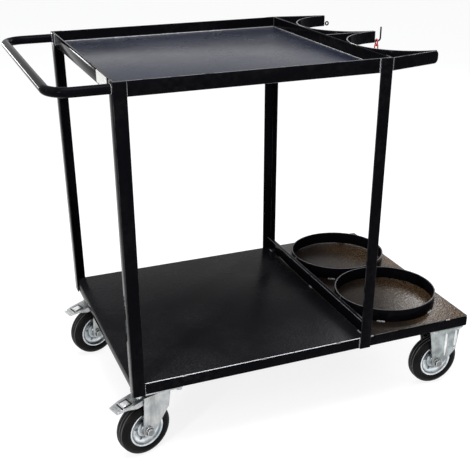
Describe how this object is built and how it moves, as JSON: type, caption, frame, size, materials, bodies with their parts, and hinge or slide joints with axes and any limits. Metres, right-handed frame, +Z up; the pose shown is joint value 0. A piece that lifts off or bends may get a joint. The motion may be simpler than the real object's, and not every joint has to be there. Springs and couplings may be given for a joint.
{
  "type": "welding cart",
  "caption": "Welding cart: a rimmed tray on angle legs over a flat shelf, a push handle, and a platform with rings and cradles for gas cylinders, on casters.",
  "frame": {"origin": "on the floor under the middle of the cart's bounding box", "axes": "+X along the cart from the push handle to the cylinder platform, +Y across it from front to back, +Z up"},
  "size_m": [0.931, 0.55, 0.806],
  "materials": {
    "black_coat": "gloss black powder coat with a light hammered texture",
    "zinc_plate": "bright zinc plate on pressed steel",
    "black_rubber": "black rubber, worn matt",
    "red_coat": "red dipped coating on small chain links"
  },
  "bodies": {
    "frame": {"front_left_leg": "black_coat", "front_right_leg": "black_coat", "back_right_leg": "black_coat", "back_left_leg": "black_coat", "front_tray_rim": "black_coat", "right_tray_rim": "black_coat", "back_tray_rim": "black_coat", "left_tray_rim": "black_coat", "tray_sheet": "black_coat", "front_bottom_rail": "black_coat", "right_bottom_rail": "black_coat", "back_bottom_rail": "black_coat", "left_bottom_rail": "black_coat", "shelf_sheet": "black_coat", "platform_sheet": "black_coat", "partition_bar": "black_coat", "front_cylinder_ring": "black_coat", "back_cylinder_ring": "black_coat", "push_handle": "black_coat", "front_cradle_arc": "black_coat", "back_cradle_arc": "black_coat", "front_cradle_arm": "black_coat", "middle_cradle_arm": "black_coat", "back_cradle_arm": "black_coat", "chain_hook": "black_coat", "chain_eye": "black_coat", "front_left_caster_plate": "zinc_plate", "front_left_king_pin": "zinc_plate", "front_left_ball_race": "zinc_plate", "back_left_caster_plate": "zinc_plate", "back_left_king_pin": "zinc_plate", "back_left_ball_race": "zinc_plate", "front_right_bracket": "zinc_plate", "front_right_axle": "zinc_plate", "front_right_axle_nut": "zinc_plate", "back_right_bracket": "zinc_plate", "back_right_axle": "zinc_plate", "back_right_axle_nut": "zinc_plate"},
    "front_left_fork_body": {"front_left_fork": "zinc_plate", "front_left_axle": "zinc_plate", "front_left_axle_nut": "zinc_plate", "front_left_pedal_pin": "zinc_plate"},
    "front_left_wheel": {"front_left_rim": "zinc_plate", "front_left_tyre": "black_rubber"},
    "front_left_brake": {"front_left_brake_pedal": "zinc_plate", "front_left_brake_shoe": "black_rubber"},
    "back_left_fork_body": {"back_left_fork": "zinc_plate", "back_left_axle": "zinc_plate", "back_left_axle_nut": "zinc_plate", "back_left_pedal_pin": "zinc_plate"},
    "back_left_wheel": {"back_left_rim": "zinc_plate", "back_left_tyre": "black_rubber"},
    "back_left_brake": {"back_left_brake_pedal": "zinc_plate", "back_left_brake_shoe": "black_rubber"},
    "front_right_wheel": {"front_right_rim": "zinc_plate", "front_right_tyre": "black_rubber"},
    "back_right_wheel": {"back_right_rim": "zinc_plate", "back_right_tyre": "black_rubber"},
    "upper_link_body": {"upper_chain_link": "red_coat"},
    "lower_link_body": {"lower_chain_link": "red_coat"}
  },
  "joints": [
    {"name": "front_left_swivel", "type": "hinge", "parent": "frame", "child": "front_left_fork_body", "pos_m": [-0.2927, -0.2297, 0.16], "axis": [0, 0, 1], "continuous": true},
    {"name": "front_left_wheel_spin", "type": "hinge", "parent": "front_left_fork_body", "child": "front_left_wheel", "pos_m": [-0.32521, -0.23964, 0.061], "axis": [-0.2924, 0.9563, 0], "continuous": true},
    {"name": "front_left_brake_pedal_hinge", "type": "hinge", "parent": "front_left_fork_body", "child": "front_left_brake", "pos_m": [-0.32713, -0.24023, 0.135], "axis": [0.2924, -0.9563, 0], "range_deg": [0, 8]},
    {"name": "back_left_swivel", "type": "hinge", "parent": "frame", "child": "back_left_fork_body", "pos_m": [-0.2927, 0.2297, 0.16], "axis": [0, 0, 1], "continuous": true},
    {"name": "back_left_wheel_spin", "type": "hinge", "parent": "back_left_fork_body", "child": "back_left_wheel", "pos_m": [-0.32521, 0.21976, 0.061], "axis": [-0.2924, 0.9563, 0], "continuous": true},
    {"name": "back_left_brake_pedal_hinge", "type": "hinge", "parent": "back_left_fork_body", "child": "back_left_brake", "pos_m": [-0.32713, 0.21917, 0.135], "axis": [0.2924, -0.9563, 0], "range_deg": [0, 8]},
    {"name": "front_right_wheel_spin", "type": "hinge", "parent": "frame", "child": "front_right_wheel", "pos_m": [0.4045, -0.2297, 0.061], "axis": [0, 1, 0], "continuous": true},
    {"name": "back_right_wheel_spin", "type": "hinge", "parent": "frame", "child": "back_right_wheel", "pos_m": [0.4045, 0.2297, 0.061], "axis": [0, 1, 0], "continuous": true},
    {"name": "upper_chain_swing", "type": "hinge", "parent": "frame", "child": "upper_link_body", "pos_m": [0.3245, 0, 0.776], "axis": [1, 0, 0], "range_deg": [-40, 40]},
    {"name": "lower_chain_swing", "type": "hinge", "parent": "upper_link_body", "child": "lower_link_body", "pos_m": [0.3245, 0, 0.7656], "axis": [0, 1, 0], "range_deg": [-30, 40]}
  ]
}
